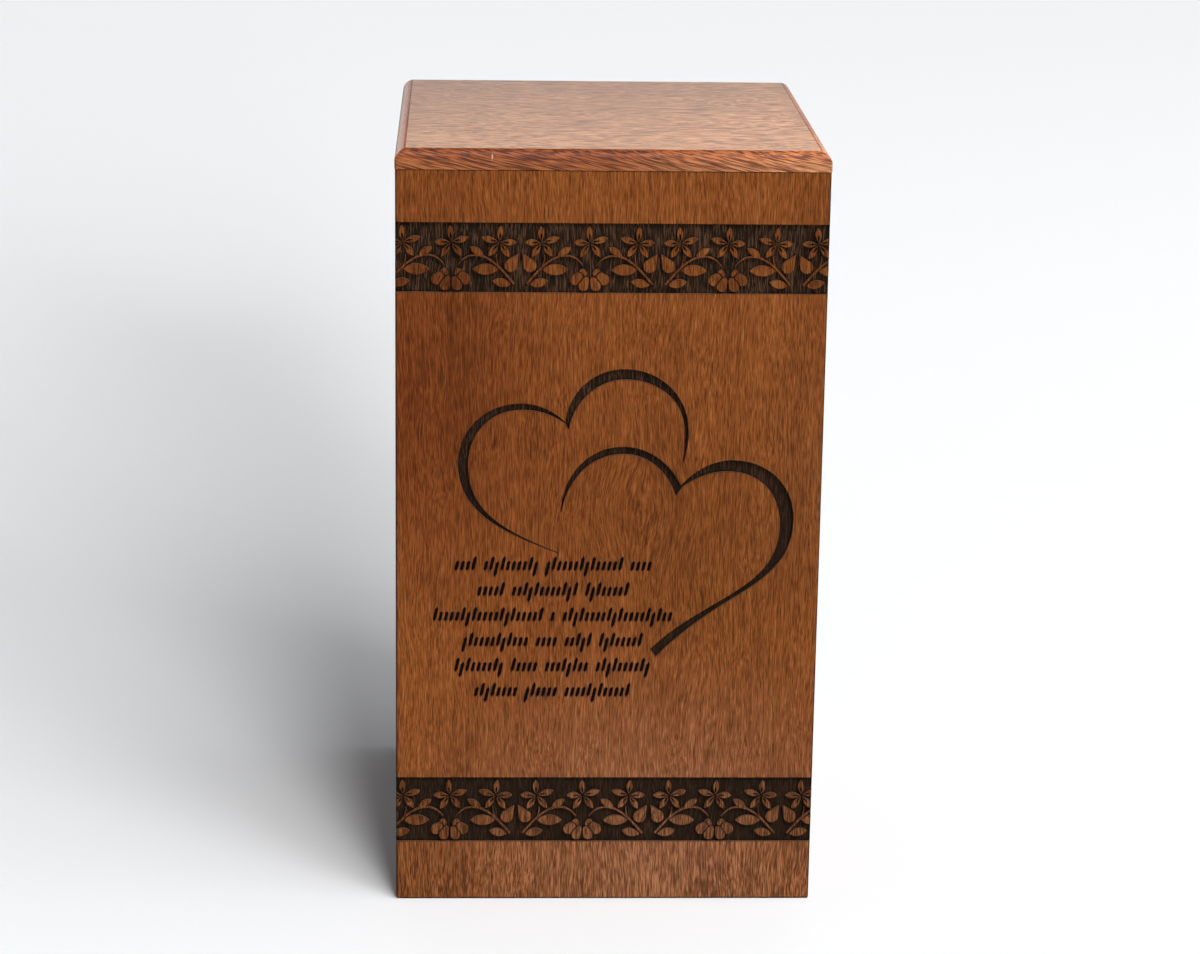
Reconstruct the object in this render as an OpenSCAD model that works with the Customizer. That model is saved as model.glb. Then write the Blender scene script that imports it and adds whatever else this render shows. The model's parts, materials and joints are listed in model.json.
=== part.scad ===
// Wooden box urn: four glued wall boards, a base board set up inside them, and a loose lid.
// Millimetres. The origin is on the ground at the middle of the box. The carved front faces -Y.

/* [Box] */
// Width of the box across its carved front
body_w = 152.4; // [125:0.1:185]
// Depth of the box from front to back
body_d = 165.1; // [125:0.1:200]
// Height of the wall boards, from their feet to the lid
body_h = 272.4; // [225:0.1:330]
// Thickness of the wall boards
wall = 12.7; // [9:0.1:16]
// Rounding of the four upright corners
arris_r = 0.8; // [0.3:0.1:0.9]
// Rounding of the walls' outer edges at the feet
foot_r = 1.2; // [0.3:0.1:4]

/* [Base board] */
// Thickness of the base board
base_t = 12.7; // [6:0.1:18]
// Height of the base board's underside above the walls' feet
base_lift = 1.5; // [0.5:0.1:10]

/* [Lid] */
// Height of the lid's edge that shows above the walls
lid_t = 7; // [5:0.1:14]
// Rounding of the lid's top edges
lid_r = 3.8; // [1:0.1:4.5]
// Rounding of the lid's upright corners
lid_corner_r = 0.9; // [0.3:0.1:4]
// How far the lid stands out past the walls all round
lid_over = 0.2; // [0:0.1:3]
// Depth of the lid's plug below the wall tops
plug_t = 5.7; // [2:0.1:12]
// Gap between the plug and the walls on every side
plug_gap = 0.5; // [0.2:0.1:1.5]

/* [Carved bands] */
// Height of each band
band_h = 24.9; // [16:0.1:30]
// Depth of the bands' floor below the front
band_depth = 1; // [0.3:0.1:2]
// Height of the lower band's edge above the feet
band_foot = 22.9; // [10:0.1:35]
// Distance from the wall tops down to the upper band
band_drop = 18.7; // [8:0.1:30]
// Length of one repeat, from one pair of teardrop leaves to the next
repeat = 48.7; // [40:0.1:60]
// Distance of a pair of teardrop leaves to the right of the centre line
pair_x = 16.4; // [-20:0.1:20]

/* [Hearts and inscription] */
// Depth of the hearts' grooves
heart_depth = 1; // [0.3:0.1:2]
// Depth of the inscription's strokes
stroke_depth = 0.5; // [0.2:0.1:1.5]
// Bare margin to the left of the hearts and the inscription
margin_left = 12; // [6:0.1:25]
// Bare margin to the right of the hearts
margin_right = 9.9; // [5:0.1:20]
// Least bare margin between the drawing and each band
margin_band = 4; // [2:0.1:25]
// Distance from one inscription row to the next
row_pitch = 9.55; // [9:0.05:12]
// Distance from one inscription stroke to the next
stroke_pitch = 2; // [1.7:0.05:2.2]
// Extra space between two groups of strokes
word_gap = 2.4; // [1:0.1:4]

/* [Hidden] */
$fn = 96;
wood = [0.5, 0.29, 0.16];
wood_side = [0.47, 0.26, 0.14];
wood_lid = [0.62, 0.4, 0.26];
wood_base = [0.42, 0.24, 0.13];

// Cutters reach this far past the face that they open
over = 2;
inner_w = body_w - 2 * wall;
inner_d = body_d - 2 * wall;
front_y = -body_d / 2;

// The field between the bands, and the drawing's scale in it
field_low = band_foot + band_h;
field_high = body_h - band_drop - band_h;
drawn_w = 130.5;
drawn_h = 125;
drawn_right = 66.3;
art_k = min((body_w - margin_left - margin_right) / drawn_w,
            (field_high - field_low - 2 * margin_band) / drawn_h);
art_x = body_w / 2 - margin_right - drawn_right * art_k;
art_z = (field_low + field_high) / 2;

// The bands' leaves are drawn for a band of this height, and scaled to the real one
drawn_band = 24.9;
motif_k = band_h / drawn_band;
half = repeat / motif_k / 2;
petals = [[94, 6], [16, 6.5], [-51, 6.3], [-124, 6.2], [179, 5.9]];
petal_root = 0.7;
petal_middle = 0.64;
petal_w = 2.3;
lobe_steps = 6;
bud_steps = 3;
flower_z = 17.85;
side_flower_x = 7.4;

// The hearts' curves: each list is a chain of cubic curves, x from the art's upright axis
// and z from the middle of the field
heart_1_right = [
    [[-15.8, 43.2], [-14.6, 54.7], [-6, 62.9], [5.2, 62.9], [18, 62.9], [27.9, 52.7], [27.9, 40.2],
     [27.9, 36.2], [27.3, 32.7], [26.4, 29.2]],
    [[-14.8, 41.1], [-13, 52.2], [-4, 59.3], [5.2, 59.3], [17, 59.3], [26.8, 51.7], [26.8, 40.2],
     [26.8, 36.2], [26.9, 32.7], [26.4, 29.2]]];
heart_1_left = [
    [[-15, 42.5], [-20, 47.7], [-26, 50.2], [-31.5, 50.2], [-44.5, 50.2], [-53.8, 40.2], [-53.8, 28.2],
     [-53.8, 9.2], [-37, 2.7], [-18, -4.8]],
    [[-15, 42.5], [-20.5, 46.9], [-26, 48], [-31.5, 48], [-42.5, 48], [-50.6, 39.7], [-50.6, 27.7],
     [-50.6, 10.7], [-38, 3.2], [-18, -4.8]]];
heart_2_left = [
    [[-17, 10.5], [-16.5, 24.7], [-7, 34.5], [5, 34.5], [14.5, 34.5], [22.5, 27.7], [25.8, 19.7]],
    [[-17, 10.5], [-15, 23.7], [-6, 32], [5, 32], [14, 32], [21, 25.7], [24, 16.9]]];
heart_2_right = [
    [[24.8, 19.1], [30, 25.7], [37, 29.7], [44, 29.7], [57, 29.7], [66.3, 20.2], [66.3, 7.7],
     [66.3, -6.8], [57, -14], [46, -21.1], [36, -27.5], [26, -34.8], [17.8, -43.8]],
    [[24.8, 19.1], [31, 23.7], [36.5, 25.7], [42.5, 25.7], [54, 25.7], [61.8, 17.7], [61.8, 5.7],
     [61.8, -6.8], [54.5, -13.8], [46, -19.5], [36, -26.1], [25, -31.8], [16, -41.1]]];

// The inscription: how many strokes stand in each group of each row
rows = [[4, 10, 14, 4], [5, 12, 8], [20, 1, 20], [12, 4, 5, 8], [9, 5, 8, 10], [8, 6, 12]];
row_middle = -20.1;
first_row_z = -11.7;
stroke_h = 3.5;
stroke_rise = 1.8;
stroke_drop = 2.2;
stroke_w = 1.2;
stroke_lean = 0.22;

// ---- curves ----

function cubic(p, t) =
    pow(1 - t, 3) * p[0] + 3 * t * pow(1 - t, 2) * p[1]
    + 3 * t * t * (1 - t) * p[2] + pow(t, 3) * p[3];

// Points along a chain of cubic curves that share their end points
function chain(p, steps) = [
    for (k = [0 : 3 : len(p) - 4], i = [k == 0 ? 0 : 1 : steps])
        cubic([p[k], p[k + 1], p[k + 2], p[k + 3]], i / steps)];

function reversed(v) = [for (i = [len(v) - 1 : -1 : 0]) v[i]];

// An outline without points that repeat their neighbour
function distinct(v) = [
    for (i = [0 : len(v) - 1]) if (norm(v[i] - v[(i + 1) % len(v)]) > 0.001) v[i]];

function crossways(v) = [-v[1], v[0]] / norm(v);

// A closed groove between two chains of curves
module groove(sides, steps) {
    polygon(distinct(concat(chain(sides[0], steps), reversed(chain(sides[1], steps)))));
}

// Points along an arc, both ends included
function arc(middle, r, from, to, steps) = [
    for (i = [0 : steps])
        middle + r * [cos(from + (to - from) * i / steps), sin(from + (to - from) * i / steps)]];

// The direction from a to b, and half the angle between the lines from a that touch a circle round b
function aim(a, b) = atan2(b[1] - a[1], b[0] - a[0]);
function spread(a, b, r) = asin(r / norm(b - a));

// A tapering stem along a chain of curves
module stem(p, w_start, w_end, steps) {
    line = chain(p, steps);
    last = len(line) - 1;
    side = [for (i = [0 : last])
        crossways(line[min(i + 1, last)] - line[max(i - 1, 0)])
        * (w_start + (w_end - w_start) * i / last) / 2];
    polygon(concat(line + side, reversed(line - side)));
}

// A pointed leaf from a to b: two circular arcs
module leaf(a, b, w) {
    reach = norm(b - a);
    r = (reach * reach + w * w) / (4 * w);
    translate((a + b) / 2) rotate(aim(a, b))
        intersection() {
            translate([0, r - w / 2]) circle(r);
            translate([0, w / 2 - r]) circle(r);
        }
}

// A lobe: the outline round two circles
module lobe(a, r_a, b, r_b) {
    turn = aim(a, b);
    lean = acos((r_a - r_b) / norm(b - a));
    polygon(concat(
        arc(a, r_a, turn + lean, turn + 360 - lean, lobe_steps),
        arc(b, r_b, turn - lean, turn + lean, lobe_steps)));
}

// A bud: pointed at both ends, and round in between on a circle of radius r
module bud(root, middle, tip, r) {
    turn = aim(root, tip);
    low = 90 + spread(root, middle, r);
    high = 90 - spread(tip, middle, r);
    polygon(concat(
        [root], arc(middle, r, turn - low, turn - high, bud_steps),
        [tip], arc(middle, r, turn + high, turn + low, bud_steps)));
}

// ---- carved bands ----

module flower() {
    for (p = petals) {
        out = [cos(p[0]), sin(p[0])];
        bud(petal_root * out, petal_middle * p[1] * out, p[1] * out, petal_w / 2);
    }
}

// A leaf with a long tip and a round end
module teardrop() {
    tip = [0.6, 14];
    middle = [3.35, 9.65];
    r = 2.3;
    turn = aim(tip, middle);
    flank = 90 + spread(tip, middle, r);
    polygon(concat([tip], arc(middle, r, turn - flank, turn + flank, 2 * lobe_steps)));
}

// The blossom's right half: a cap, a side lobe and a lower lobe, with bare lines between them
module half_blossom() {
    line = 0.35;
    lobe([1.3, 4.7], 1.1, [2.15, 2.5], 1.8);
    difference() {
        lobe([3.9, 5.7], 1.55, [5, 4.7], 1.95);
        lobe([1.3, 4.7], 1.1 + line, [2.15, 2.5], 1.8 + line);
    }
    difference() {
        lobe([1.7, 6.9], 0.75, [2.5, 7.35], 1.25);
        lobe([3.9, 5.7], 1.55 + line, [5, 4.7], 1.95 + line);
        lobe([1.3, 4.7], 1.1 + line, [2.15, 2.5], 1.8 + line);
    }
}

// The spray that grows to the right from a pair of teardrops
module spray() {
    stem([[2.25, 3.1], [6.5, 8.2], [10.5, 13.3], [16, 13.3], [18.6, 13.3], [20.6, 11.8], [22, 9.7]],
         1, 0.35, 7);
    stem([[7.8, 9.6], [8.2, 10.8], [8.6, 12], [8.45, 13.5]], 0.5, 0.35, 4);
    teardrop();
    leaf([7.6, 8.3], [16.8, 8.25], 4.1);
    leaf([3.3, 2.85], [9.8, 4.15], 3);
    leaf([13, 13.3], [17.75, 16.2], 2.4);
    translate([side_flower_x, flower_z]) flower();
}

// One side of a repeat, from the pair of teardrops to the middle of the blossom
module half_repeat() {
    spray();
    translate([half, 0]) mirror([1, 0]) half_blossom();
}

module motifs() {
    first = floor((-body_w / 2 - pair_x) / repeat);
    last = ceil((body_w / 2 - pair_x) / repeat);
    scale(motif_k) for (k = [first : last]) translate([(pair_x + k * repeat) / motif_k, 0]) {
        half_repeat();
        mirror([1, 0]) half_repeat();
        translate([half, flower_z]) mirror([k % 3 == 0 ? 1 : 0, 0]) flower();
    }
}

module band() {
    difference() {
        translate([-body_w / 2 - over, 0]) square([body_w + 2 * over, band_h]);
        motifs();
    }
}

// ---- hearts and inscription ----

module hearts() {
    for (sides = [heart_1_right, heart_1_left, heart_2_left, heart_2_right])
        groove(sides, 8);
}

// One slanted stroke: short, tall or dropped below its row
module mark(kind) {
    low = kind == 2 ? -stroke_drop : 0;
    high = stroke_h + (kind == 1 ? stroke_rise : 0);
    waist = (high - low) / 4;
    upright = [
        [0, low], [stroke_w / 2, low + waist], [stroke_w / 2, high - waist],
        [0, high], [-stroke_w / 2, high - waist], [-stroke_w / 2, low + waist]];
    polygon([for (p = upright) p + [stroke_lean * p[1], 0]]);
}

function total(v, n) = n == 0 ? 0 : v[n - 1] + total(v, n - 1);

module inscription() {
    for (r = [0 : len(rows) - 1]) {
        groups = rows[r];
        span = total(groups, len(groups)) * stroke_pitch + (len(groups) - 1) * word_gap;
        for (g = [0 : len(groups) - 1], i = [0 : groups[g] - 1]) {
            step = (total(groups, g) + i + 0.5) * stroke_pitch + g * word_gap;
            mood = (5 * i + 3 * g + 2 * r) % 7;
            translate([row_middle - span / 2 + step, first_row_z - r * row_pitch])
                mark(mood == 1 || mood == 4 ? 1 : mood == 6 ? 2 : 0);
        }
    }
}

// ---- boards ----

// A rectangle with all four corners rounded
module rounded(w, h, r) {
    translate([-w / 2 + r, -h / 2]) square([w - 2 * r, h]);
    translate([-w / 2, -h / 2 + r]) square([w, h - 2 * r]);
    for (x = [-1, 1], y = [-1, 1])
        translate([x * (w / 2 - r), y * (h / 2 - r)]) circle(r);
}

// A flat drawing, x across and z up, stood upright on the front and cut to a depth
module cut_into_front(depth) {
    translate([0, front_y + depth, 0]) rotate([90, 0, 0]) linear_extrude(depth + over) children();
}

// The outside of the walls: upright corners and feet rounded
module walls_outside() {
    intersection() {
        linear_extrude(body_h) rounded(body_w, body_d, arris_r);
        translate([0, body_d / 2, 0]) rotate([90, 0, 0])
            linear_extrude(body_d) translate([0, body_h]) rounded(body_w, 2 * body_h, foot_r);
        translate([-body_w / 2, 0, 0]) rotate([90, 0, 90])
            linear_extrude(body_w) translate([0, body_h]) rounded(body_d, 2 * body_h, foot_r);
    }
}

// The front or back board: full width, one wall thick
module end_board() {
    intersection() {
        walls_outside();
        translate([-body_w / 2 - over, front_y - over, -over])
            cube([body_w + 2 * over, wall + over, body_h + 2 * over]);
    }
}

// A side board, between the front and the back
module side_board() {
    intersection() {
        walls_outside();
        translate([inner_w / 2, -inner_d / 2, -over])
            cube([wall + over, inner_d, body_h + 2 * over]);
    }
}

module front_panel() {
    color(wood) difference() {
        end_board();
        cut_into_front(band_depth) {
            translate([0, band_foot]) band();
            translate([0, field_high]) band();
        }
        cut_into_front(heart_depth) translate([art_x, art_z]) scale(art_k) hearts();
        cut_into_front(stroke_depth) translate([art_x, art_z]) scale(art_k) inscription();
    }
}

module back_panel() {
    color(wood) mirror([0, 1, 0]) end_board();
}

module left_panel() {
    color(wood_side) mirror([1, 0, 0]) side_board();
}

module right_panel() {
    color(wood_side) side_board();
}

module base_panel() {
    color(wood_base) translate([-inner_w / 2, -inner_d / 2, base_lift])
        cube([inner_w, inner_d, base_t]);
}

// The lid: a slab on the wall tops and a plug that drops between the walls
module lid() {
    slab_w = body_w + 2 * lid_over;
    slab_d = body_d + 2 * lid_over;
    color(wood_lid) {
        translate([0, 0, body_h]) intersection() {
            linear_extrude(lid_t) rounded(slab_w, slab_d, lid_corner_r);
            translate([0, slab_d / 2, 0]) rotate([90, 0, 0])
                linear_extrude(slab_d) rounded(slab_w, 2 * lid_t, lid_r);
            translate([-slab_w / 2, 0, 0]) rotate([90, 0, 90])
                linear_extrude(slab_w) rounded(slab_d, 2 * lid_t, lid_r);
        }
        translate([-inner_w / 2 + plug_gap, -inner_d / 2 + plug_gap, body_h - plug_t])
            cube([inner_w - 2 * plug_gap, inner_d - 2 * plug_gap, plug_t + lid_t / 2]);
    }
}

lid();
front_panel();
back_panel();
left_panel();
right_panel();
base_panel();
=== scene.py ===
"""The looks of a wooden box urn: a carved front, a loose lid and plain boards."""

import json
import math
from collections import defaultdict

import bpy
import numpy as np
from mathutils import Matrix, Vector
from mathutils.geometry import delaunay_2d_cdt
from mathutils.kdtree import KDTree

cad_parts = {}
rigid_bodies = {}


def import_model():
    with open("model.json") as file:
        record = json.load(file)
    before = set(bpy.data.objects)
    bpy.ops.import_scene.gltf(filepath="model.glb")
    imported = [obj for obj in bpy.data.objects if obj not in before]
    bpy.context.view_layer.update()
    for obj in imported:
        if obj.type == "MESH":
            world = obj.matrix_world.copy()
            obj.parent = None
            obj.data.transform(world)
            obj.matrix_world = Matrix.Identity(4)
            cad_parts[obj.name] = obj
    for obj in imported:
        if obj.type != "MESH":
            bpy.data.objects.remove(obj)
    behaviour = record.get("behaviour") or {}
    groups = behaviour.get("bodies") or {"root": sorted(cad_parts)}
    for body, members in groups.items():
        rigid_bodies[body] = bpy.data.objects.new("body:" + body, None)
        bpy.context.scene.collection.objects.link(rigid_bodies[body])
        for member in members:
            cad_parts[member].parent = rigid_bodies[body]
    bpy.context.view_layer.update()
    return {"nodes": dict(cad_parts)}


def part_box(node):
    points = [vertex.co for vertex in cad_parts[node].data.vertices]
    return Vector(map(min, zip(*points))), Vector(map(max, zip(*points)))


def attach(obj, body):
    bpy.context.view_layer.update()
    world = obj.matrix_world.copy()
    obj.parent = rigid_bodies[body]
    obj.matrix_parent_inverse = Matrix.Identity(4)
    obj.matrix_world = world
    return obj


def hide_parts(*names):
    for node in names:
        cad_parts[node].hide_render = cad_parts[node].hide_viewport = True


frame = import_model()
nodes = frame["nodes"]

# ---- sizes in millimetres: the boards' come from the frame, the carving's are chosen ----

MM = 0.001


def box_mm(node):
    """The lowest and highest corner of a CAD node, in millimetres."""
    return [np.array(corner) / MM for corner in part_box(node)]


front_low, front_high = box_mm("front_panel")
lid_low, lid_high = box_mm("lid")
base_low, base_high = box_mm("base_panel")
BODY_W = front_high[0] - front_low[0]
BODY_H = front_high[2]
WALL = front_high[1] - front_low[1]
FRONT_Y = front_low[1]

# How far the front's side, foot and top edges are rounded
ARRIS_R = 0.8
FOOT_R = 1.2
TOP_R = 0.5
# How far below the front's face its rounded edges are fully darkened, as painted shade, and how dark that
# is
ARRIS_DEPTH = 0.13
ARRIS_SHADE = 0.9
# How far the lid's top edge is rounded, and its corners seen from above
LID_R = 3.8
LID_CORNER_R = 0.9
# Angle at which the lid's rounded edge meets its top
LID_CREASE = 14
# The room round the plug that drops between the walls
PLUG_GAP = 0.5

# The bands, the lower one's distance from the foot, and the upper one's from the top
BAND_H = 24.9
BAND_DEPTH = 1.0
BAND_FOOT = 22.9
BAND_DROP = 18.7
# The width of one repeat of their pattern, and where a pair of teardrops stands
REPEAT = 48.7
HALF = REPEAT / 2
PAIR_X = 16.4
# The field between the bands, and the middle height of what is cut into it
FIELD_LOW = BAND_FOOT + BAND_H
FIELD_HIGH = BODY_H - BAND_DROP - BAND_H
ART_Z = (FIELD_LOW + FIELD_HIGH) / 2
HEART_DEPTH = 1.0
# How much wider than drawn the hearts' grooves are on each side
GROOVE_EASE = 0.12
STROKE_DEPTH = 0.5
# Width of the scorched rim round every cut, and of the darker rim of its floor; both are laser char
# darkened further with painted shade along the cuts' walls
HALO = 0.27
FLOOR_HALO = 0.4
# How smoke-darkened the raised shapes are, in the lower band and in the upper
SMOKES = (0.48, 0.35)

# Each petal of a flower: its direction in degrees and how far it reaches
PETALS = ((94, 6), (16, 6.5), (-51, 6.3), (-124, 6.2), (179, 5.9))
PETAL_ROOT = 0.5
PETAL_W = 2.25
SLIT_ROOT = 0.9
SLIT_TIP = 3.5
SLIT_W = 0.62
FLOWER_Z = 17.85
SIDE_FLOWER_X = 7.4
# Width of the bare lines between the lobes of a blossom
BLOSSOM_LINE = 0.35

# The hearts: for each groove its outer and inner side, each a chain of cubic curves.
# x from the front's middle and z from the middle of the field between the bands.
HEARTS = (
    (((-15.8, 43.2), (-14.6, 54.7), (-6, 62.9), (5.2, 62.9), (18, 62.9), (27.9, 52.7), (27.9, 40.2),
      (27.9, 36.2), (27.3, 32.7), (26.4, 29.2)),
     ((-14.8, 41.1), (-13, 52.2), (-4, 59.3), (5.2, 59.3), (17, 59.3), (26.8, 51.7), (26.8, 40.2),
      (26.8, 36.2), (26.9, 32.7), (26.4, 29.2))),
    (((-15, 42.5), (-20, 47.7), (-26, 50.2), (-31.5, 50.2), (-44.5, 50.2), (-53.8, 40.2), (-53.8, 28.2),
      (-53.8, 9.2), (-37, 2.7), (-18, -4.8)),
     ((-15, 42.5), (-20.5, 46.9), (-26, 48), (-31.5, 48), (-42.5, 48), (-50.6, 39.7), (-50.6, 27.7),
      (-50.6, 10.7), (-38, 3.2), (-18, -4.8))),
    (((-17, 10.5), (-16.5, 24.7), (-7, 34.5), (5, 34.5), (14.5, 34.5), (22.5, 27.7), (25.8, 19.7)),
     ((-17, 10.5), (-15, 23.7), (-6, 32), (5, 32), (14, 32), (21, 25.7), (24, 16.9))),
    (((24.8, 19.1), (30, 25.7), (37, 29.7), (44, 29.7), (57, 29.7), (66.3, 20.2), (66.3, 7.7),
      (66.3, -6.8), (57, -14), (46, -21.1), (36, -27.5), (26, -34.8), (17.8, -43.8)),
     ((24.8, 19.1), (31, 23.7), (36.5, 25.7), (42.5, 25.7), (54, 25.7), (61.8, 17.7), (61.8, 5.7),
      (61.8, -6.8), (54.5, -13.8), (46, -19.5), (36, -26.1), (25, -31.8), (16, -41.1))),
)

# The inscription: how many strokes stand in each group of each row
ROWS = ((4, 10, 14, 4), (5, 12, 8), (20, 1, 20), (12, 4, 5, 8), (9, 5, 8, 10), (8, 6, 12))
# The rows' middle, the first row's height from the middle of the field, and the way down to the next
ROW_MIDDLE = -20.1
FIRST_ROW_Z = -11.7
ROW_PITCH = 9.55
STROKE_PITCH = 2.0
GROUP_GAP = 2.4
# A stroke's height and width, how much further a tall or a dropped one reaches, and how far all lean
STROKE_H = 3.9
STROKE_W = 1.15
STROKE_RISE = 1.7
STROKE_DROP = 2.2
STROKE_LEAN = 0.22


# ---- outlines: arrays of points, x across and z up ----

def chain(points, steps):
    """Points along a chain of cubic curves that share their end points."""
    points = np.array(points, float)
    line = [points[0]]
    for k in range(0, len(points) - 3, 3):
        a, b, c, d = points[k:k + 4]
        for t in np.linspace(0, 1, steps + 1)[1:]:
            left = 1 - t
            line.append(left ** 3 * a + 3 * t * left ** 2 * b + 3 * t * t * left * c + t ** 3 * d)
    return np.array(line)


def arc(middle, r, start, end, steps):
    """Points along an arc, angles in degrees, both ends included."""
    turn = np.radians(np.linspace(start, end, steps + 1))
    return np.array(middle) + r * np.column_stack([np.cos(turn), np.sin(turn)])


def aim(a, b):
    """The direction from a to b, in degrees."""
    return math.degrees(math.atan2(b[1] - a[1], b[0] - a[0]))


def spread(a, b, r):
    """Half the angle between the lines from a that touch a circle round b."""
    return math.degrees(math.asin(r / math.dist(a, b)))


def stem(points, w_start, w_end, steps):
    """A tapering stem along a chain of curves."""
    line = chain(points, steps)
    along = np.gradient(line, axis=0)
    side = np.column_stack([-along[:, 1], along[:, 0]])
    side *= (np.linspace(w_start, w_end, len(line)) / 2 / np.linalg.norm(side, axis=1))[:, None]
    return np.concatenate([line + side, (line - side)[::-1]])


def leaf(a, b, w, steps=14):
    """A pointed leaf from a to b: two arcs."""
    reach = math.dist(a, b)
    r = (reach ** 2 + w ** 2) / (4 * w)
    turn = aim(a, b)
    lean = math.degrees(math.asin(reach / 2 / r))
    middle = (np.array(a) + b) / 2
    side = np.array([-math.sin(math.radians(turn)), math.cos(math.radians(turn))]) * (r - w / 2)
    upper = arc(middle - side, r, turn + 90 + lean, turn + 90 - lean, steps)
    lower = arc(middle + side, r, turn - 90 + lean, turn - 90 - lean, steps)
    return np.concatenate([upper[:-1], lower[:-1]])


def lobe(a, r_a, b, r_b, steps=12):
    """The outline round two circles."""
    turn = aim(a, b)
    lean = math.degrees(math.acos((r_a - r_b) / math.dist(a, b)))
    return np.concatenate([
        arc(a, r_a, turn + lean, turn + 360 - lean, steps),
        arc(b, r_b, turn - lean, turn + lean, steps)])


def petal(root, tip, w, steps=12):
    """An oval petal, widest a little past its middle."""
    share = (1 - np.cos(np.linspace(0, math.pi, steps + 1))) / 2
    half = w / 2 * np.sin(math.pi * share ** 1.15) ** 0.85
    along = tip - root
    side = np.array([-along[1], along[0]]) / np.linalg.norm(along)
    line = root + share[:, None] * along
    return np.concatenate([line + half[:, None] * side, (line - half[:, None] * side)[-2:0:-1]])


def teardrop(tip, middle, r, steps=20):
    """A leaf with a long tip and a round end."""
    turn = aim(tip, middle)
    flank = 90 + spread(tip, middle, r)
    return np.concatenate([[tip], arc(middle, r, turn - flank, turn + flank, steps)])


def offset(outline, gap):
    """An outline moved outwards by gap, or inwards where gap is negative, with blunt tips."""
    around = np.roll(outline, -1, axis=0)
    area = (outline[:, 0] * around[:, 1] - outline[:, 1] * around[:, 0]).sum()
    ahead = (around - outline) * math.copysign(1, area)
    ahead /= np.linalg.norm(ahead, axis=1)[:, None]
    out = np.column_stack([ahead[:, 1], -ahead[:, 0]])
    ring = []
    for i, point in enumerate(outline):
        lean = out[i - 1] @ out[i]
        if lean < 0 < gap:
            tip = (ahead[i - 1] - ahead[i]) * math.copysign(1, area)
            ring += [point + gap * way for way in (out[i - 1], tip / np.linalg.norm(tip), out[i])]
        else:
            # The limit keeps a corner from running far out
            ring.append(point + gap * (out[i - 1] + out[i]) / max(1 + lean, 0.3))
    return np.array(ring)


def moved(shape, x, z, flip=1):
    """A shape, which is an outline and its holes, mirrored where flip is -1 and then moved."""
    return [outline * (flip, 1) + (x, z) for outline in shape]


# ---- the carved bands: shapes that stand up from the floor ----

def flower():
    """Five petals, each slit from its root to its middle."""
    shapes = []
    for angle, reach in PETALS:
        out = np.array([math.cos(math.radians(angle)), math.sin(math.radians(angle))])
        slit = leaf(SLIT_ROOT * out, SLIT_TIP * out, SLIT_W, 6)
        shapes.append([petal(PETAL_ROOT * out, reach * out, PETAL_W), slit])
    return shapes


def half_blossom():
    """The right half of a blossom: a lower lobe, a side lobe and a cap with bare lines between them."""
    low = ((1.3, 4.7), 1.1, (2.15, 2.5), 1.8)
    side = ((3.9, 5.7), 1.55, (5, 4.7), 1.95)
    cap = ((1.7, 6.9), 0.75, (2.5, 7.35), 1.25)
    wide = [lobe(a, r_a + BLOSSOM_LINE, b, r_b + BLOSSOM_LINE) for a, r_a, b, r_b in (low, side)]
    return [[lobe(*low)], [lobe(*side), wide[0]], [lobe(*cap), *wide]]


def spray():
    """What grows to the right from a pair of teardrops."""
    shapes = [
        [stem(((2.25, 3.1), (6.5, 8.2), (10.5, 13.3), (16, 13.3), (18.6, 13.3), (20.6, 11.8), (22, 9.7)),
              0.75, 0.3, 12)],
        [stem(((7.8, 9.6), (8.2, 10.8), (8.6, 12), (8.45, 13.5)), 0.45, 0.35, 6)],
        [teardrop((0.6, 14), (3.35, 9.65), 2.3)],
        [leaf((7.6, 8.3), (16.8, 8.25), 3.9)],
        [leaf((3.3, 2.85), (9.8, 4.15), 3)],
        [leaf((13, 13.3), (17.75, 16.2), 2.4)],
    ]
    return shapes + [moved(shape, SIDE_FLOWER_X, FLOWER_Z) for shape in flower()]


def band_shapes(foot):
    """Every raised shape of a band whose lower edge is at the given height."""
    shapes = []
    first = math.floor((-BODY_W / 2 - PAIR_X) / REPEAT)
    last = math.ceil((BODY_W / 2 - PAIR_X) / REPEAT)
    for k in range(first, last + 1):
        x = PAIR_X + k * REPEAT
        for flip in (1, -1):
            shapes += [moved(shape, x, foot, flip) for shape in spray()]
            shapes += [moved(shape, x + flip * HALF, foot, -flip) for shape in half_blossom()]
        side = -1 if k % 3 == 0 else 1
        shapes += [moved(shape, x + HALF, foot + FLOWER_Z, side) for shape in flower()]
    reach = BODY_W / 2
    return [s for s in shapes if s[0][:, 0].max() > -reach and s[0][:, 0].min() < reach]


def band_outline(foot):
    """The band's floor: right across the front and a little past its sides."""
    reach = BODY_W / 2 + 1
    return np.array([(-reach, foot), (reach, foot), (reach, foot + BAND_H), (-reach, foot + BAND_H)])


def heart_outlines():
    """The four grooves of the hearts, a little wider than drawn so that their tips stay open."""
    outlines = []
    for outer, inner in HEARTS:
        last = -2 if outer[-1] == inner[-1] else -1
        first = 0 if outer[0] == inner[0] else None
        outline = np.concatenate([chain(outer, 20), chain(inner, 20)[last:first:-1]])
        outlines.append(offset(outline + (0, ART_Z), GROOVE_EASE))
    return outlines


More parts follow.
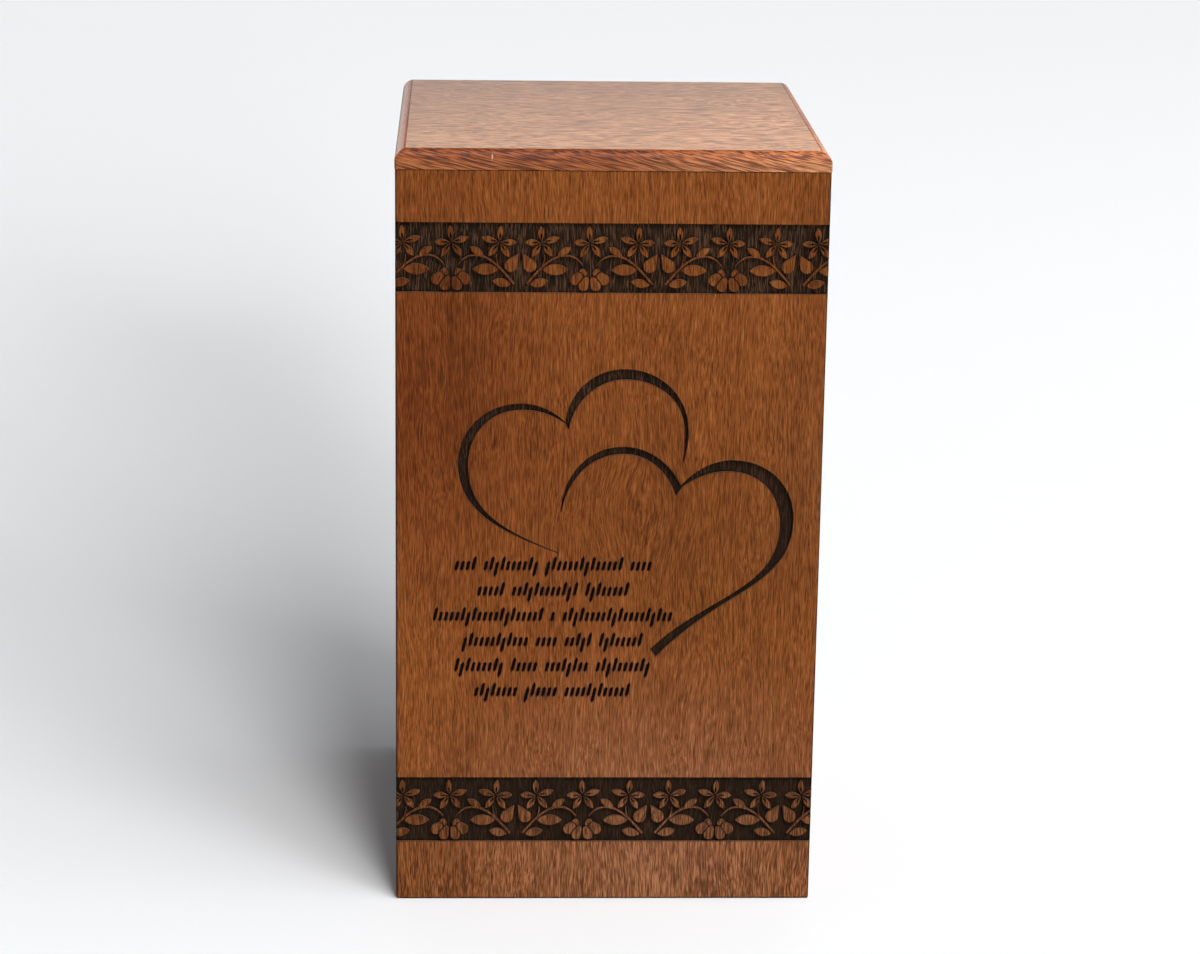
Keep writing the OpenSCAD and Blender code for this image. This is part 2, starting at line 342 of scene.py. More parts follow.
def stroke_outlines():
    """Rows of slanted strokes, short, tall or dropped, that form no letters."""
    outlines = []
    for r, groups in enumerate(ROWS):
        span = sum(groups) * STROKE_PITCH + (len(groups) - 1) * GROUP_GAP
        x = ROW_MIDDLE - span / 2
        z = ART_Z + FIRST_ROW_Z - r * ROW_PITCH
        for g, count in enumerate(groups):
            for i in range(count):
                mood = (5 * i + 3 * g + 2 * r) % 7
                low = -STROKE_DROP if mood == 6 else 0
                high = STROKE_H + (STROKE_RISE if mood in (1, 4) else 0)
                waist = (high - low) / 6
                upright = np.array([
                    (0, low), (STROKE_W / 2, low + waist), (STROKE_W / 2, high - waist),
                    (0, high), (-STROKE_W / 2, high - waist), (-STROKE_W / 2, low + waist)])
                upright[:, 0] += STROKE_LEAN * upright[:, 1] + x + (i + 0.5) * STROKE_PITCH
                outlines.append(upright + (0, z))
            x += count * STROKE_PITCH + GROUP_GAP
    return outlines


# ---- solids: a flat drawing, cut to depths and given a back ----

def inside(points, outline):
    """Which points lie inside an outline: those with an odd number of its sides to their right."""
    found = np.zeros(len(points), bool)
    near = np.flatnonzero(((points > outline.min(axis=0)) & (points < outline.max(axis=0))).all(axis=1))
    x, z = points[near, :1], points[near, 1:]
    a, b = outline, np.roll(outline, -1, axis=0)
    crossed = (a[:, 1] > z) != (b[:, 1] > z)
    rise = np.where(b[:, 1] == a[:, 1], 1, b[:, 1] - a[:, 1])
    at = a[:, 0] + (z - a[:, 1]) / rise * (b[:, 0] - a[:, 0])
    found[near] = (crossed & (x < at)).sum(axis=1) % 2 == 1
    return found


def triangulate(outlines, lines):
    """Points and triangles of a drawing in which every outline and line is a run of edges."""
    points, edges = [], []
    for path in [*outlines, *lines]:
        closed = len(path) > 2
        first = len(points)
        points += [Vector(p) for p in path]
        edges += [(first + i, first + (i + 1) % len(path)) for i in range(len(path) if closed else 1)]
    points, _, triangles, *_ = delaunay_2d_cdt(points, edges, [], 0, 1e-4)
    return np.array([tuple(p) for p in points]), np.array(triangles)


class Solid:
    """A board as one closed mesh, drawn flat: its face is cut to depths, and its back is flat."""

    def __init__(self, place):
        self.place = place
        self.corners = []
        self.faces = []
        self.paints = []
        self.smooth = []
        self.burn_and_shade = []
        self.known = {}

    def corner(self, point, depth):
        """The number of the corner at a point of the drawing and a depth."""
        key = (round(point[0], 5), round(point[1], 5), round(depth, 5))
        if key not in self.known:
            self.known[key] = len(self.corners)
            self.corners.append(self.place(point[0], point[1], depth))
        return self.known[key]

    def face(self, corners, paint=0, smooth=False, burn_and_shade=None):
        """Adds a face, with its material's number and how burnt, or darkened with painted shade, each of
        its corners is.
        """
        self.faces.append(corners)
        self.paints.append(paint)
        self.smooth.append(bool(smooth))
        self.burn_and_shade += list(burn_and_shade) if burn_and_shade is not None else [0.0] * len(corners)

    def made(self, name, materials):
        """The Blender object."""
        mesh = bpy.data.meshes.new(name)
        mesh.from_pydata([Vector(c) * MM for c in self.corners], [], self.faces)
        for material in materials:
            mesh.materials.append(material)
        mesh.polygons.foreach_set("material_index", self.paints)
        mesh.polygons.foreach_set("use_smooth", self.smooth)
        mesh.attributes.new("burn_and_shade", "FLOAT", "CORNER").data.foreach_set("value", self.burn_and_shade)
        mesh.validate()
        mesh.update()
        piece = bpy.data.objects.new(name, mesh)
        bpy.context.scene.collection.objects.link(piece)
        return piece


# The numbers of the front's materials, as they stand in its list
SURFACE = 0
FLOOR = 1
STROKE = 2
SIDE = 3
EDGE = 4
# On the lid: the level top, where the rest is SURFACE
LEVEL = 1


def carve(solid, outline, creases, cuts, rings, bend, thickness, edge=SURFACE, arris=0.0):
    """Builds the face and the sides of a solid, and returns the loop of points round its back.

    cuts are (paint, depth, outlines, islands, the islands' smoke); bend gives the uncut surface's
    depth at a point, and arris how dark the surface is painted, as shade, where it is rounded off.
    """
    drawn = [outline, *rings]
    for _, _, outlines, islands, _ in cuts:
        drawn += [*outlines, *[o for shape in islands for o in shape]]
    points, triangles = triangulate(drawn, creases)
    middles = points[triangles].mean(axis=1)
    kept = inside(middles, outline)
    triangles, middles = triangles[kept], middles[kept]
    paint = np.zeros(len(triangles), int)
    floor = np.zeros(len(triangles))
    for cut_paint, depth, outlines, islands, _ in cuts:
        cut = np.any([inside(middles, o) for o in outlines], axis=0)
        for island, *holes in islands:
            raised = inside(middles, island)
            for hole in holes:
                raised &= ~inside(middles, hole)
            cut &= ~raised
        paint[cut] = cut_paint
        floor[cut] = depth
    uncut = np.array([bend(*p) for p in points])

    # For each edge, the triangle on its left
    left_of = {}
    for t, (a, b, c) in enumerate(triangles):
        left_of[a, b] = left_of[b, c] = left_of[c, a] = t
    rims = [(a, b) for (a, b), t in left_of.items()
            if (b, a) in left_of and floor[t] < floor[left_of[b, a]]]
    # Scorched rims with painted shade, and painted shade where the surface is rounded off
    burns_and_shade = np.maximum(scorch_and_shade(points, rims), arris * np.clip(uncut / ARRIS_DEPTH, 0, 1))
    for _, _, _, islands, smoke in cuts:
        for island, *_ in islands:
            smoked = inside(points, island)
            burns_and_shade[smoked] = np.maximum(burns_and_shade[smoked], smoke)

    def corner(p, depth):
        return solid.corner(points[p], depth or uncut[p])

    depths_at = defaultdict(set)
    for t, triangle in enumerate(triangles):
        for p in triangle:
            depths_at[p].add(floor[t])
        bent = paint[t] == SURFACE and np.ptp(uncut[triangle]) > 1e-6
        solid.face([corner(p, floor[t]) for p in triangle], paint[t], bent, burns_and_shade[triangle])
    for a, b in rims:
        high, low = floor[left_of[a, b]], floor[left_of[b, a]]
        solid.face([corner(b, high), corner(a, high), corner(a, low), corner(b, low)], SIDE)

    after = {}
    for (a, b), t in left_of.items():
        if (b, a) in left_of:
            continue
        after[a] = b
        down = [corner(a, d) for d in sorted(depths_at[a]) if d >= floor[t]]
        up = [corner(b, d) for d in sorted(depths_at[b], reverse=True) if d >= floor[t]]
        back = [solid.corner(points[p], thickness) for p in (a, b)]
        solid.face([*down, *back, *up], edge)
    loop = [min(after)]
    while after[loop[-1]] != loop[0]:
        loop.append(after[loop[-1]])
    return points[loop]


def scorch_and_shade(points, rims):
    """How dark the surface is at each point from a cut's rim, laser char with painted shade: 1 on the rim
    of a cut and 0 beyond the halo.
    """
    if not rims:
        return np.zeros(len(points))
    samples = []
    for a, b in rims:
        steps = max(2, math.ceil(math.dist(points[a], points[b]) / (HALO / 3)))
        samples += [points[a] + (points[b] - points[a]) * t for t in np.linspace(0, 1, steps)]
    tree = KDTree(len(samples))
    for i, p in enumerate(samples):
        tree.insert((p[0], p[1], 0), i)
    tree.balance()
    far = np.array([tree.find((p[0], p[1], 0))[2] for p in points])
    return np.clip(1 - far / HALO, 0, 1)


def rounding(gap, r, crease=0):
    """How far a rounded edge of reach r lies below the flat face, at a distance gap from the side.

    crease is the angle in degrees at which the edge's arc meets the face and the side.
    """
    if gap >= r:
        return 0.0
    tilt = math.radians(crease)
    radius = r / (math.cos(tilt) - math.sin(tilt))
    along = r - gap + radius * math.sin(tilt)
    return radius * math.cos(tilt) - math.sqrt(max(0, radius ** 2 - along ** 2))


def rounding_lines(r, steps):
    """The distances from the side at which a rounded edge is creased."""
    return [r * (1 - math.sin(math.pi / 2 * i / steps)) for i in range(steps)]


def rounded(w, h, r, corners, steps=8):
    """A rectangle, w by h, round the origin, with some corners rounded: 0 is the lower left one."""
    outline = []
    for k, (x, z) in enumerate(((-1, -1), (1, -1), (1, 1), (-1, 1))):
        if k in corners:
            centre = (x * (w / 2 - r), z * (h / 2 - r))
            outline.append(arc(centre, r, 180 + 90 * k, 270 + 90 * k, steps))
        else:
            outline.append([(x * w / 2, z * h / 2)])
    return np.concatenate(outline)


def front_board(materials):
    """The carved front, one wall thick."""
    solid = Solid(lambda x, z, depth: (x, FRONT_Y + depth, z))
    half_w = BODY_W / 2
    outline = rounded(BODY_W, BODY_H, FOOT_R, (0, 1)) + (0, BODY_H / 2)
    upright = [side * (half_w - gap) for gap in rounding_lines(ARRIS_R, 5) for side in (1, -1)]
    level = [*rounding_lines(FOOT_R, 6), *[BODY_H - gap for gap in rounding_lines(TOP_R, 4)]]
    creases = [np.array([(x, 0), (x, BODY_H)]) for x in upright]
    creases += [np.array([(-half_w, z), (half_w, z)]) for z in level]
    feet = (BAND_FOOT, FIELD_HIGH)
    bands = [band_outline(foot) for foot in feet]
    shapes = [band_shapes(foot) for foot in feet]
    hearts = heart_outlines()
    strokes = stroke_outlines()
    cuts = [(FLOOR, BAND_DEPTH, [band], raised, smoke)
            for band, raised, smoke in zip(bands, shapes, SMOKES)]
    cuts += [(FLOOR, HEART_DEPTH, hearts, [], 0), (STROKE, STROKE_DEPTH, strokes, [], 0)]
    rings = [offset(o, HALO) for o in [*bands, *hearts, *strokes]]
    for shape in [*shapes[0], *shapes[1]]:
        rings += [offset(o, -HALO if k == 0 else HALO) for k, o in enumerate(shape)]
        rings.append(offset(shape[0], FLOOR_HALO))
    rings += [offset(o, -FLOOR_HALO) for o in hearts] + [offset(o, -2 * FLOOR_HALO) for o in bands]

    def bend(x, z):
        return max(rounding(half_w - abs(x), ARRIS_R), rounding(z, FOOT_R), rounding(BODY_H - z, TOP_R))

    loop = carve(solid, outline, creases, cuts, rings, bend, WALL, EDGE, ARRIS_SHADE)
    solid.face([solid.corner(p, WALL) for p in loop[::-1]], EDGE)
    return solid.made("carved_front", materials)


def lid_board(materials):
    """The lid: a slab with rounded top edges, and a plug beneath."""
    top = lid_high[2]
    solid = Solid(lambda x, y, depth: (x, y, top - depth))
    w, d = lid_high[0] - lid_low[0], lid_high[1] - lid_low[1]
    outline = rounded(w, d, LID_CORNER_R, (0, 1, 2, 3))
    level = rounded(w - 2 * LID_R, d - 2 * LID_R, 0, ())
    creases = [np.array([corner, np.sign(corner) * (w / 2, d / 2)]) for corner in level]
    for gap in rounding_lines(LID_R, 12)[1:]:
        for side in (1, -1):
            x, y = side * (w / 2 - gap), side * (d / 2 - gap)
            creases += [np.array([(x, -d / 2), (x, d / 2)]), np.array([(-w / 2, y), (w / 2, y)])]

    def bend(x, y):
        return max(rounding(w / 2 - abs(x), LID_R, LID_CREASE),
                   rounding(d / 2 - abs(y), LID_R, LID_CREASE))

    thickness = top - BODY_H
    loop = carve(solid, outline, creases, [(LEVEL, 0, [level], [], 0)], [], bend, thickness)
    room = base_high - base_low - 2 * PLUG_GAP
    plug = rounded(room[0], room[1], 0, ())
    points, triangles = triangulate([loop, plug], [])
    middles = points[triangles].mean(axis=1)
    for triangle in triangles[inside(middles, loop) & ~inside(middles, plug)]:
        solid.face([solid.corner(points[p], thickness) for p in triangle[::-1]])
    depth = top - lid_low[2]
    for a, b in zip(plug, np.roll(plug, -1, axis=0)):
        solid.face([solid.corner(a, thickness), solid.corner(a, depth),
                    solid.corner(b, depth), solid.corner(b, thickness)])
    solid.face([solid.corner(p, depth) for p in plug[::-1]])
    return solid.made("lid_slab", materials)


# ---- materials ----

class Shader:
    """A material's node tree, with one call per node."""

    def __init__(self, name):
        self.material = bpy.data.materials.new(name)
        self.material.use_nodes = True
        self.tree = self.material.node_tree
        self.bsdf = self.tree.nodes["Principled BSDF"]

    def put(self, socket, value):
        """Links a node's output to a socket, or sets a plain value on it."""
        if isinstance(value, bpy.types.NodeSocket):
            self.tree.links.new(value, socket)
        else:
            socket.default_value = value

    def node(self, kind, *values, **settings):
        """A new node with its settings, and its inputs given in order."""
        made = self.tree.nodes.new(kind)
        for key, value in settings.items():
            setattr(made, key, value)
        for socket, value in zip(made.inputs, values):
            if value is not None:
                self.put(socket, value)
        return made

    def math(self, operation, a, b=0.5):
        return self.node("ShaderNodeMath", a, b, operation=operation).outputs[0]

    def vector(self, operation, a, b):
        return self.node("ShaderNodeVectorMath", a, b, operation=operation).outputs[0]

    def noise(self, vector, scale, detail, roughness):
        """The node of a noise from 0 to 1, with features of about 1/scale metres on each axis."""
        stretched = self.vector("MULTIPLY", vector, scale)
        return self.node("ShaderNodeTexNoise", stretched, None, 1.0, detail, roughness)

    def span(self, value, low, high, to_low=0.0, to_high=1.0):
        """value from low..high brought smoothly to to_low..to_high, and held there beyond."""
        made = self.node("ShaderNodeMapRange", value, low, high, to_low, to_high,
                         interpolation_type="SMOOTHSTEP")
        return made.outputs[0]

    def ramp(self, value, *stops):
        """A colour ramp: stops are (place, colour)."""
        made = self.node("ShaderNodeValToRGB", value)
        elements = made.color_ramp.elements
        while len(elements) < len(stops):
            elements.new(0.5)
        for element, (place, colour) in zip(elements, stops):
            element.position = place
            element.color = (*colour, 1)
        return made.outputs[0]

    def mix(self, factor, a, b, blend="MIX"):
        """Two colours mixed or blended; a plain colour is three numbers."""
        made = self.tree.nodes.new("ShaderNodeMix")
        made.data_type = "RGBA"
        made.blend_type = blend
        for socket, value in ((made.inputs[0], factor), (made.inputs[6], a), (made.inputs[7], b)):
            if isinstance(value, tuple) and len(value) == 3:
                value = (*value, 1)
            self.put(socket, value)
        return made.outputs[2]

    def bump(self, height, distance, strength):
        made = self.tree.nodes.new("ShaderNodeBump")
        self.put(made.inputs["Height"], height)
        made.inputs["Distance"].default_value = distance
        made.inputs["Strength"].default_value = strength
        self.put(self.bsdf.inputs["Normal"], made.outputs[0])

    def set(self, **values):
        """Fills the shader's own inputs, named with _ for a space."""
        for key, value in values.items():
            self.put(self.bsdf.inputs[key.replace("_", " ")], value)


class Wood(Shader):
    """Solid wood whose fibres run along one axis, so that every face of a board shows its own cut."""

    def __init__(self, name, turn=(0, 0, 0), shift=(0, 0, 0), knot=None, flat=1.0, fine=(2900, 210)):
        super().__init__(name)
        self.flat = flat
        self.place = self.node("ShaderNodeTexCoord").outputs["Object"]
        grain = self.node("ShaderNodeMapping", self.place, shift, turn).outputs[0]
        # The fibres waver a little
        drift = self.noise(grain, (32, 32, 13), 2, 0.6).outputs["Color"]
        drift = self.vector("SUBTRACT", drift, (0.5, 0.5, 0.5))
        drift = self.vector("MULTIPLY", drift, (0.008, 0.008, 0))
        grain = self.vector("ADD", grain, drift)
        if knot:
            grain = self.vector("ADD", grain, self.bow(*knot))
        self.grain = grain
        self.height = self.node("ShaderNodeSeparateXYZ", self.place).outputs["Z"]
        # The grain's layers, from broad to fine
        self.figure = self.layer(55, 7, 3)
        self.streaks = self.layer(1300, 36, 2)
        self.fibres = self.layer(*fine, 2)
        self.pores = self.span(self.layer(2600, 150), 0.6, 0.7)

    def layer(self, across, along, detail=2):
        """Noise with this many features a metre across and along the grain."""
        return self.noise(self.grain, (across, across * self.flat, along), detail, 0.5).outputs[0]

    def patch(self, x, z, reach_x, reach_z):
        """1 at a place on the front and 0 beyond its reach, in millimetres."""
        away = self.vector("SUBTRACT", self.place, (x * MM, 0, z * MM))
        away = self.vector("MULTIPLY", away, (1 / reach_x / MM, 0, 1 / reach_z / MM))
        far = self.node("ShaderNodeVectorMath", away, operation="LENGTH").outputs["Value"]
        return self.span(far, 0, 1, 1, 0)

    def bow(self, x, z, reach_x, reach_z):
        """How far the grain bends sideways round a knot."""
        away = self.vector("SUBTRACT", self.place, (x * MM, 0, z * MM))
        away = self.vector("MULTIPLY", away, (-0.65, 0, 0))
        return self.vector("MULTIPLY", away, self.as_vector(self.patch(x, z, reach_x, reach_z)))

    def as_vector(self, value):
        """One number as all three parts of a vector."""
        return self.node("ShaderNodeCombineXYZ", value, value, value).outputs[0]

    def tone(self, figure=0.25, streaks=0.6, fibres=1.0):
        """The wood's lightness, about 0.5, from its layers of grain."""
        tone = 0.5
        for layer, weight in ((self.figure, figure), (self.streaks, streaks), (self.fibres, fibres)):
            part = self.math("MULTIPLY", self.math("SUBTRACT", layer, 0.5), weight)
            tone = self.math("ADD", tone, part)
        return tone

    def contrast(self, tone, gain):
        """The tone with its grain made stronger."""
        return self.math("ADD", self.math("MULTIPLY", self.math("SUBTRACT", tone, 0.5), gain), 0.5)

    def facing(self, axis):
        """How much the surface faces an axis, from -1 to 1."""
        normal = self.node("ShaderNodeTexCoord").outputs["Normal"]
        return self.node("ShaderNodeSeparateXYZ", normal).outputs[axis]

    def varnish(self, colour, roughness, ior, haze=0.0, relief=0.00006):
        """A satin varnish over pores of a given relief; haze makes it pale where seen slantwise."""
        rough = self.span(self.fibres, 0.3, 0.7, roughness + 0.05, roughness - 0.05)
        self.set(Base_Color=colour, Roughness=rough, IOR=ior, Sheen_Weight=haze,
                 Sheen_Roughness=0.45, Sheen_Tint=(1, 0.83, 0.73, 1))
        height = self.math("SUBTRACT", self.fibres, self.pores)
        self.bump(height, relief, 0.5)


def board_colour(wood, colours, tone=None):
    """The varnished colour of a board, from dark, middle and light wood colours."""
    dark, middle, light = colours
    colour = wood.ramp(tone or wood.tone(), (0.25, dark), (0.5, middle), (0.75, light))
    return wood.mix(wood.math("MULTIPLY", wood.pores, 0.5), colour, dark)


def varnished(name, colours, turn=(0, 0, 0), shift=(0, 0, 0), roughness=0.42):
    """A satin varnished board."""
    wood = Wood(name, turn, shift)
    wood.varnish(board_colour(wood, colours), roughness, 1.15)
    return wood.material


# Colours of wood: dark, middle and light
BROWN = ((0.053, 0.0148, 0.003), (0.122, 0.0345, 0.0072), (0.21, 0.069, 0.0165))
# The lid's colours at its back left and its front right; the change between them is painted light,
# brighter towards the front right
LID_SHADED = ((0.04, 0.011, 0.002), (0.113, 0.036, 0.009), (0.21, 0.082, 0.028))
LID_LIT = ((0.12, 0.04, 0.012), (0.3, 0.115, 0.042), (0.52, 0.23, 0.095))
SANDED = ((0.09, 0.04, 0.018), (0.17, 0.085, 0.04), (0.25, 0.13, 0.065))


def front_wood():
    """The varnished front: upright grain with a knot's figure, a scorched rim round every cut, painted
    shade on its rounded edges and a painted reflection of the floor low down.
    """
    wood = Wood("front_varnished", knot=(11, 150, 24, 30), fine=(3300, 200))
    burn_and_shade = wood.node("ShaderNodeAttribute", attribute_name="burn_and_shade").outputs["Fac"]
    gain = wood.span(wood.height, 0, (FIELD_LOW + 10) * MM, 1.8, 1)
    gain = wood.math("ADD", gain, wood.math("MULTIPLY", burn_and_shade, 1.2))
    colour = board_colour(wood, BROWN, wood.contrast(wood.tone(0.25, 0.42, 1.1), gain))
    # Patches that darken or tint the wood, the wide low one a painted reflection; then two dark streaks
    # and a fleck: place and reach in millimetres, strength, tint
    for x, z, reach_x, reach_z, strength, tint in (
            (-80, 190, 95, 105, 0.9, (0.57, 0.42, 0.37)),
            (5, 150, 55, 55, 0.6, (0.75, 0.7, 0.7)),
            (75, 165, 35, 75, 0.5, (0.7, 0.75, 0.95)),
            # Painted reflection of the pale floor in the varnish: the lower front paler and bluer
            (20, 20, 130, 95, 0.9, (1.13, 1.48, 2.95)),
            (-75, 12, 60, 50, 0.8, (0.75, 0.75, 0.75)),
            (40, 125, 70, 60, 0.6, (0.82, 0.85, 0.85)),
            (-42, 212, 2.2, 32, 0.45, (0.6, 0.52, 0.5)),
            (-57, 222, 3, 24, 0.35, (0.65, 0.6, 0.55)),
            (-41, 174, 0.8, 3.2, 0.9, (0.3, 0.25, 0.3))):
        mask = wood.math("MULTIPLY", wood.patch(x, z, reach_x, reach_z), strength)
        colour = wood.mix(mask, colour, tint, "MULTIPLY")
    # Darkest where the corners' attribute says: scorched round the cuts, and painted shade on the rounded
    # edges
    colour = wood.mix(wood.math("MULTIPLY", burn_and_shade, 0.75), colour, (0.02, 0.011, 0.007))
    wood.varnish(colour, 0.42, 1.12)
    wood.set(Specular_IOR_Level=wood.span(burn_and_shade, 0, 0.6, 0.5, 0))
    return wood.material


def lid_wood(name, slope, flat, gain, end_gain):
    """The lid's wood, its place from 0 at the back left to 1 at the front right, and its colour, painted
    lighter along that way as light falling off from the front right.

    The grain climbs at slope degrees; gain is its contrast, and end_gain that on the end grain.
    """
    wood = Wood(name, (0, math.radians(90 - slope), 0), flat=flat, fine=(2600, 110))
    low, high = [Vector(corner) * MM for corner in (lid_low, lid_high)]
    way = wood.vector("SUBTRACT", wood.place, (low.x, high.y, 0))
    way = wood.node("ShaderNodeVectorMath", way, (0.4 / (high.x - low.x), -0.6 / (high.y - low.y), 0),
                    operation="DOT_PRODUCT").outputs["Value"]
    gain = wood.span(wood.math("ABSOLUTE", wood.facing("X")), 0.2, 0.8, gain, end_gain)
    tone = wood.contrast(wood.tone(0.25, 0.5, 1.7), gain)
    # Painted light: the shaded colour at the back left becomes the lit one at the front right
    colour = wood.mix(way, board_colour(wood, LID_SHADED, tone), board_colour(wood, LID_LIT, tone))
    return wood, way, colour


def lid_top():
    """The lid's level top: grain along the width, paler and whiter towards the front right as painted
    light and sheen, and hazy.
    """
    wood, way, colour = lid_wood("lid_top", 3, 0.5, 1.35, 1.35)
    # Painted sheen: whiter towards the front right
    colour = wood.mix(way, colour, (1.2, 1.3, 1.4), "MULTIPLY")
    wood.varnish(colour, 0.4, 1.25, 0.45, 0.0002)
    return wood.material


def lid_edges():
    """The lid's edges: sloping grain; darker than the top, and redder where rounded, as painted shade;
    paler at the sides, a painted sheen.
    """
    wood, way, colour = lid_wood("lid_edges", 14, 0.38, 1.35, 0.5)
    # Painted shade: the edges darker than the top, least at the front right
    tint = wood.ramp(way, (0.6, (0.68, 0.52, 0.38)), (0.8, (0.5, 0.35, 0.24)), (1.0, (0.9, 0.9, 1.0)))
    colour = wood.mix(1.0, colour, tint, "MULTIPLY")
    # Painted shade: the rounded edge darker and redder, least towards the front right
    lean = wood.span(wood.facing("Z"), 0.2, 0.5)
    redder = wood.mix(wood.span(way, 0.6, 1), (0.8, 0.6, 0.36), (1, 0.8, 0.6))
    colour = wood.mix(lean, colour, redder, "MULTIPLY")
    # Painted sheen: the rounded side slopes paler and bluer
    side = wood.math("MULTIPLY", lean, wood.span(wood.math("ABSOLUTE", wood.facing("X")), 0.05, 0.35))
    colour = wood.mix(side, colour, (1.8, 1.9, 2.2), "MULTIPLY")
    in_front = wood.span(wood.math("MULTIPLY", wood.facing("Y"), -1), 0.1, 0.3)
    nick = wood.math("MULTIPLY", in_front, 0.45)
    nick = wood.math("MULTIPLY", wood.patch(-42.4, 276.9, 0.4, 1.5), nick)
    colour = wood.mix(nick, colour, (0.6, 0.45, 0.35))
    knot = wood.math("MULTIPLY", wood.patch(67, 278, 4, 1.6), in_front)
    colour = wood.mix(knot, colour, (0.65, 0.5, 0.45), "MULTIPLY")
    wood.varnish(colour, 0.4, 1.25, wood.math("MULTIPLY", side, 0.25))
    return wood.material


def burnt(name, dark, light, roughness=0.9, rim=0.8):
    """A laser-burnt surface, blackest at its rims, from char and painted shade beside the walls; its
    lighter fibres are strongest high on the front.
    """
    wood = Wood(name, fine=(3300, 200))
    amount = wood.span(wood.tone(0.3, 0.5, 2.2), 0.42, 0.85)
    share = wood.span(wood.height, ART_Z * MM, FIELD_HIGH * MM, 0.35, 1.0)
    colour = wood.mix(wood.math("MULTIPLY", amount, share), dark, light)
    burn_and_shade = wood.node("ShaderNodeAttribute", attribute_name="burn_and_shade").outputs["Fac"]
    # The rims darkened towards black: char, with painted shade
    colour = wood.mix(wood.math("MULTIPLY", burn_and_shade, rim), colour, (0.004, 0.0025, 0.0018))
    wood.set(Base_Color=colour, Roughness=roughness, IOR=1.06)
    wood.bump(wood.fibres, 0.0003, 0.6)
    return wood.material


def plain(name, colour, roughness):
    """The floor's even finish."""
    shader = Shader(name)
    shader.set(Base_Color=(*colour, 1), Roughness=roughness)
    return shader.material


# ---- the pieces ----

front_materials = [
    front_wood(),
    burnt("burnt_floor", (0.009, 0.0055, 0.0035), (0.056, 0.027, 0.0145)),
    burnt("burnt_stroke", (0.004, 0.003, 0.0025), (0.012, 0.008, 0.006)),
    burnt("burnt_side", (0.06, 0.03, 0.017), (0.17, 0.085, 0.048), 0.7, 0),
    varnished("front_edges", BROWN)]
front = front_board(front_materials)
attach(front, "root")
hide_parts("front_panel")

lid = lid_board([lid_edges(), lid_top()])
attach(lid, "root")
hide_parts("lid")

# Where in the wood each plain board is cut from
BOARD_SHIFTS = {
    "back_panel": (0.31, 0.17, 0.4),
    "left_panel": (-0.2, 0.35, 0.9),
    "right_panel": (0.6, -0.3, 0.2)}
for name, shift in BOARD_SHIFTS.items():
    nodes[name].data.materials[0] = varnished(name + "_varnished", BROWN, shift=shift)
nodes["base_panel"].data.materials[0] = varnished(
    "base_sanded", SANDED, (math.radians(90), 0, 0), (0.1, 0.2, 0.3), 0.65)

# ---- the stage ----

# How far the floor reaches to each side, in metres
FLOOR_REACH = 12


def stage_floor():
    """The pale floor, in a collection of its own for the lights."""
    mesh = bpy.data.meshes.new("stage_floor")
    r = FLOOR_REACH
    mesh.from_pydata([(-r, -r, 0), (r, -r, 0), (r, r, 0), (-r, r, 0)], [], [(0, 1, 2, 3)])
    mesh.materials.append(plain("pale_floor", (0.62, 0.625, 0.635), 0.7))
    floor = bpy.data.objects.new("stage_floor", mesh)
    stage = bpy.data.collections.new("stage")
    bpy.context.scene.collection.children.link(stage)
    stage.objects.link(floor)
    return stage


def lamp(name, kind, energy, place, target, **settings):
    """A light at a place, aimed at a target."""
    data = bpy.data.lights.new(name, kind)
    data.energy = energy
    for key, value in settings.items():
        setattr(data, key, value)
    made = bpy.data.objects.new(name, data)
    made.location = place
    made.rotation_euler = (Vector(target) - Vector(place)).to_track_quat("-Z", "Y").to_euler()
    made.visible_camera = False
    bpy.context.scene.collection.objects.link(made)
    return made


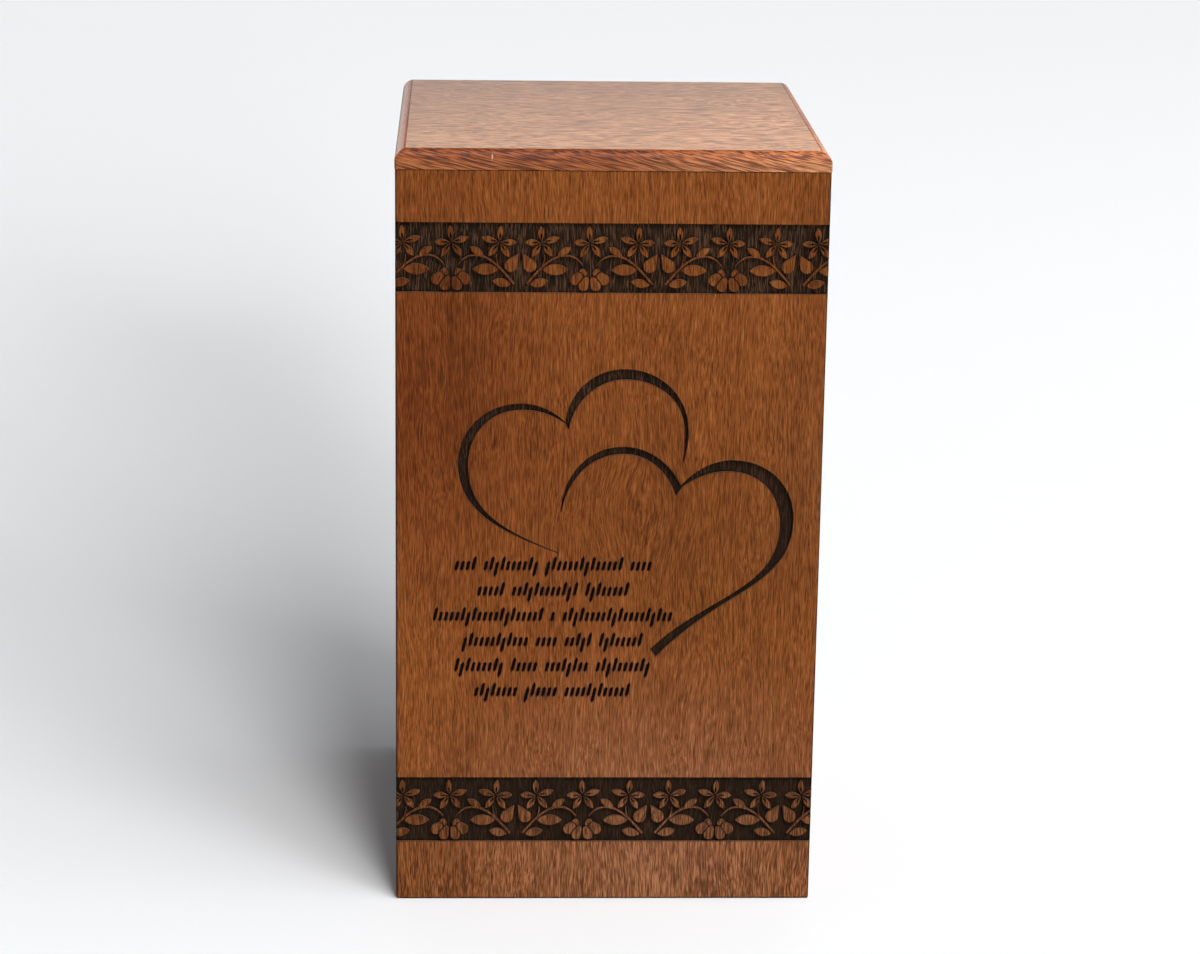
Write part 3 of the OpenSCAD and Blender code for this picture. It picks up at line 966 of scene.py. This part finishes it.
def sky():
    """A pale surround: bright low down and behind, dimmer above and in front."""
    world = bpy.data.worlds.new("studio")
    world.use_nodes = True
    bpy.context.scene.world = world
    tree = world.node_tree
    coordinate = tree.nodes.new("ShaderNodeTexCoord")
    lean = tree.nodes.new("ShaderNodeVectorMath")
    lean.operation = "DOT_PRODUCT"
    lean.inputs[1].default_value = (-0.45, -0.25, 1)
    ramp = tree.nodes.new("ShaderNodeValToRGB")
    tree.links.new(coordinate.outputs["Generated"], lean.inputs[0])
    tree.links.new(lean.outputs["Value"], ramp.inputs[0])
    tree.links.new(ramp.outputs[0], tree.nodes["Background"].inputs[0])
    stops = ramp.color_ramp.elements
    stops[0].position, stops[0].color = 0.25, (0.97, 0.98, 1.0, 1)
    stops[1].position, stops[1].color = 0.7, (0.3, 0.31, 0.32, 1)
    tree.nodes["Background"].inputs[1].default_value = 0.65


def camera():
    """The picture's view: from a little above the box and a little left of its middle."""
    yaw, pitch, roll = math.radians(2.363), math.radians(15.293), math.radians(0.854)
    distance = 1.194
    aim_at = Vector((-3.3, FRONT_Y, 0.594 * BODY_H)) * MM
    turn = (Matrix.Rotation(-yaw, 4, "Z") @ Matrix.Rotation(math.pi / 2 - pitch, 4, "X")
            @ Matrix.Rotation(roll, 4, "Z"))
    data = bpy.data.cameras.new("camera")
    data.lens = 100.35
    data.sensor_width = 36
    made = bpy.data.objects.new("camera", data)
    made.matrix_world = Matrix.Translation(aim_at) @ turn @ Matrix.Translation((0, 0, distance))
    bpy.context.scene.collection.objects.link(made)
    bpy.context.scene.camera = made


stage = stage_floor()
# Lights that light everything but the floor
all_but_stage = bpy.data.collections.new("all_but_stage")
all_but_stage.objects.link(stage.objects[0])
all_but_stage.collection_objects[0].light_linking.link_state = "EXCLUDE"
middle = Vector((0, 0, BODY_H / 2)) * MM
# Each sun: what it lights, its strength, azimuth from the front, elevation and width in degrees
SUNS = (("key_sun", all_but_stage, 3.6, 42, 48, 9), ("fill_sun", all_but_stage, 0.75, 12, 20, 25),
        ("top_sun", all_but_stage, 1.9, 20, 75, 30),
        ("floor_low", stage, 8.8, 14, 11, 18), ("floor_middle", stage, 3.6, 30, 13, 20),
        ("floor_high", stage, 2.3, 45, 20, 20))
for name, lit, strength, azimuth, elevation, width in SUNS:
    turn, lift = math.radians(azimuth), math.radians(elevation)
    way = Vector((math.sin(turn) * math.cos(lift), -math.cos(turn) * math.cos(lift), math.sin(lift)))
    sun = lamp(name, "SUN", strength, middle + way, middle, angle=math.radians(width))
    sun.light_linking.receiver_collection = lit
right = lamp("floor_right", "AREA", 42, (2.2, -0.6, 1.4), (0.3, 0, 0), shape="SQUARE", size=2)
right.light_linking.receiver_collection = stage
sky()
camera()
bpy.context.scene.view_settings.view_transform = "Standard"
